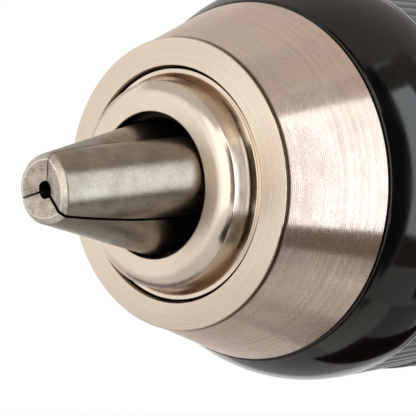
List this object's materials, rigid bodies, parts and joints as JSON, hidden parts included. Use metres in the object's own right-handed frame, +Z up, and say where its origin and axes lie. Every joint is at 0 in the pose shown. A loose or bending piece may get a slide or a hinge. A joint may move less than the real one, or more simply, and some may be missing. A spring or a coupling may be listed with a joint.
{
  "type": "keyless drill chuck",
  "caption": "Keyless three-jaw drill chuck with a nickel-finished cone, rounded nose ring and black hand sleeve, jaws closed, for small drill shanks.",
  "frame": {"origin": "on the chuck's axis, in the plane of the rear face that seats on the spindle's shoulder", "axes": "+Y runs along the axis from the jaws to the drill, +Z is up and +X is right when the chuck is seen from the jaws"},
  "size_m": [0.0464, 0.0728, 0.0464],
  "materials": {
    "body_steel": "machined steel",
    "satin_nickel": "satin nickel plate with fine turning lines",
    "jaw_steel": "hardened steel, ground and scuffed",
    "nut_steel": "plain steel",
    "bearing_steel": "polished bearing steel",
    "cage_plastic": "moulded nylon",
    "black_plastic": "satin black moulded plastic",
    "zinc_plate": "zinc-plated sheet steel",
    "spring_steel": "black oxide"
  },
  "bodies": {
    "chuck": {"chuck_body": "body_steel", "nose_ring": "satin_nickel", "thrust_ring": "bearing_steel", "rear_cover": "zinc_plate", "retaining_clip": "spring_steel", "retaining_screw": "spring_steel"},
    "sleeve_and_nut": {"grip_sleeve": "black_plastic", "cone_shroud": "satin_nickel", "nut_half_a": "nut_steel", "nut_half_b": "nut_steel", "nut_collar": "nut_steel", "nut_race": "bearing_steel"},
    "bearing_cage": {"ball_cage": "cage_plastic", "ball_01": "bearing_steel", "ball_02": "bearing_steel", "ball_03": "bearing_steel", "ball_04": "bearing_steel", "ball_05": "bearing_steel", "ball_06": "bearing_steel", "ball_07": "bearing_steel", "ball_08": "bearing_steel", "ball_09": "bearing_steel", "ball_10": "bearing_steel", "ball_11": "bearing_steel", "ball_12": "bearing_steel", "ball_13": "bearing_steel", "ball_14": "bearing_steel"},
    "jaw_body_1": {"jaw_1": "jaw_steel"},
    "jaw_body_2": {"jaw_2": "jaw_steel"},
    "jaw_body_3": {"jaw_3": "jaw_steel"}
  },
  "joints": [
    {"name": "sleeve_turn", "type": "hinge", "parent": "chuck", "child": "sleeve_and_nut", "pos_m": [0, -0.03, 0], "axis": [0, -1, 0], "range_deg": [0, 3218]},
    {"name": "jaw_1_slide", "type": "slide", "parent": "chuck", "child": "jaw_body_1", "axis": [0.2475, 0.9659, 0.0757], "range_m": [0, 0.02222]},
    {"name": "jaw_2_slide", "type": "slide", "parent": "chuck", "child": "jaw_body_2", "axis": [-0.0582, 0.9659, -0.2522], "range_m": [0, 0.02222]},
    {"name": "jaw_3_slide", "type": "slide", "parent": "chuck", "child": "jaw_body_3", "axis": [-0.1893, 0.9659, 0.1765], "range_m": [0, 0.02222]},
    {"name": "cage_turn", "type": "hinge", "parent": "chuck", "child": "bearing_cage", "pos_m": [0, -0.027, 0], "axis": [0, -1, 0], "range_deg": [0, 1610]}
  ],
  "couplings": [
    {"joint": "jaw_1_slide", "follows": "sleeve_turn", "m_per_rad": 0.00039545},
    {"joint": "jaw_2_slide", "follows": "sleeve_turn", "m_per_rad": 0.00039545},
    {"joint": "jaw_3_slide", "follows": "sleeve_turn", "m_per_rad": 0.00039545},
    {"joint": "cage_turn", "follows": "sleeve_turn", "ratio": 0.5}
  ]
}
